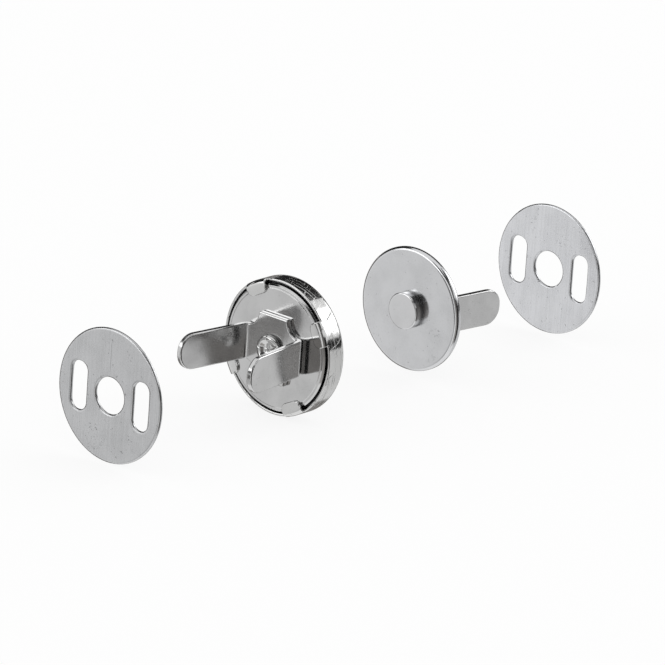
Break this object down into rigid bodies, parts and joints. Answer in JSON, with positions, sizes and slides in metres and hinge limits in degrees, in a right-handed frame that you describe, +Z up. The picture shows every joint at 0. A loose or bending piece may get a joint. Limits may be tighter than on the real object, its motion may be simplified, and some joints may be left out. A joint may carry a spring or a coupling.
{
  "type": "magnetic catch",
  "caption": "Round magnetic catch for bags and leather goods: a cased magnet half with a socket, a male half with a post, bend-over prongs behind each, and slotted washers.",
  "frame": {"origin": "where the catch axis meets the face of the magnet half's strap that seats on the material", "axes": "+X along the catch axis, from the magnet half towards the male half; the two prongs of each half lie on either side of the axis along Y; +Z up"},
  "size_m": [0.0848, 0.018, 0.018],
  "materials": {
    "polished_nickel": "nickel plate over steel, mirror polished with fine handling scratches",
    "plate_nickel": "nickel plate over steel, polished",
    "strap_nickel": "nickel plate over steel, tumbled bright",
    "satin_nickel": "nickel plate over steel, bright with light handling marks",
    "washer_nickel": "nickel plate over rolled sheet steel, fine straight rolling lines",
    "ferrite": "ground ferrite, dull charcoal"
  },
  "bodies": {
    "magnet_half": {"female_cap": "polished_nickel", "female_magnet": "ferrite", "female_back_plate": "plate_nickel", "female_rivet": "polished_nickel", "female_prong_strap": "strap_nickel"},
    "male_half": {"male_disc": "satin_nickel", "male_rivet": "polished_nickel", "male_prong_strap": "strap_nickel"},
    "magnet_half_washer": {"washer_female_side": "washer_nickel"},
    "male_half_washer": {"washer_male_side": "washer_nickel"}
  },
  "joints": [
    {"name": "close", "type": "slide", "parent": "magnet_half", "child": "male_half", "axis": [1, 0, 0], "range_m": [-0.02225, 0]},
    {"name": "magnet_half_washer_slide", "type": "slide", "parent": "magnet_half", "child": "magnet_half_washer", "axis": [1, 0, 0], "range_m": [0, 0.029]},
    {"name": "male_half_washer_slide", "type": "slide", "parent": "male_half", "child": "male_half_washer", "axis": [1, 0, 0], "range_m": [-0.0256, 0]}
  ]
}
